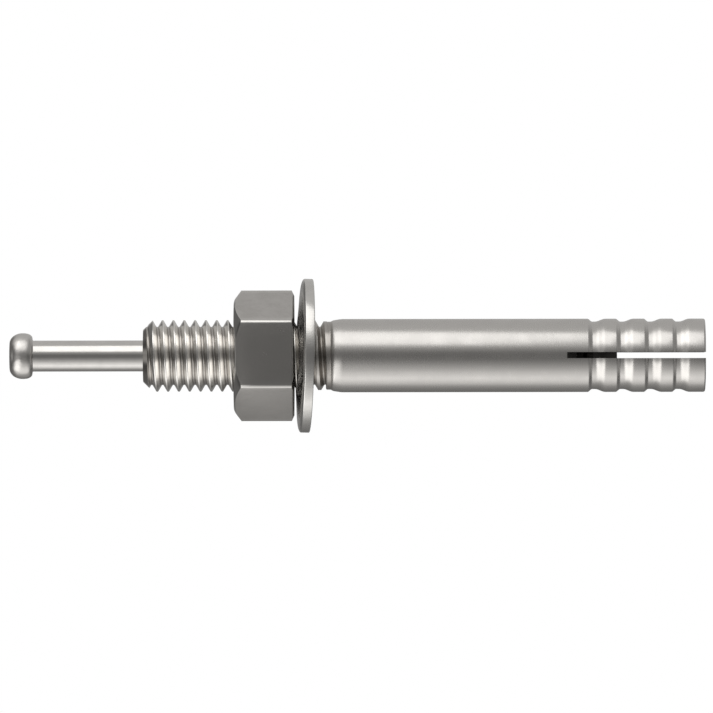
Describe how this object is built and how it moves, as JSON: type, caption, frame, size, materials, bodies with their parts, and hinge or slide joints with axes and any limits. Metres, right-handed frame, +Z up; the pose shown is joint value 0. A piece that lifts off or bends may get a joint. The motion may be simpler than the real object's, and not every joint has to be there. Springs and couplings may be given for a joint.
{
  "type": "hammer drive anchor",
  "caption": "Steel expansion anchor set by hammering its centre pin: threaded stud with hex nut and plain washer, long shank, and a slotted ringed end that spreads in a drilled hole.",
  "frame": {"origin": "centre of the part's footprint, at the height of the washer's lowest point", "axes": "+X along the anchor's axis from the pin head to the slotted end, +Z up, -Y towards the viewer; the axis is level, at the height of the washer's centre"},
  "size_m": [0.0962, 0.0213, 0.0213],
  "materials": {
    "body_steel": "turned, semi-bright",
    "pin_steel": "drawn, bright",
    "nut_steel": "cold formed, satin",
    "washer_steel": "punched, tumbled"
  },
  "bodies": {
    "body": {"anchor_body": "body_steel"},
    "pin": {"drive_pin": "pin_steel"},
    "washer": {"plain_washer": "washer_steel"},
    "nut": {"hex_nut": "nut_steel"}
  },
  "joints": [
    {"name": "pin_drive", "type": "slide", "parent": "body", "child": "pin", "axis": [1, 0, 0], "range_m": [0, 0.01533], "deforming": ["anchor_body"]},
    {"name": "washer_travel", "type": "slide", "parent": "body", "child": "washer", "axis": [1, 0, 0], "range_m": [-0.0196, 0.0038]},
    {"name": "nut_turn", "type": "hinge", "parent": "washer", "child": "nut", "pos_m": [-0.0171, 0, 0.01067], "axis": [1, 0, 0], "range_deg": [-4680, 900]}
  ],
  "couplings": [
    {"joint": "washer_travel", "follows": "nut_turn", "m_per_rad": 0.00023873}
  ]
}
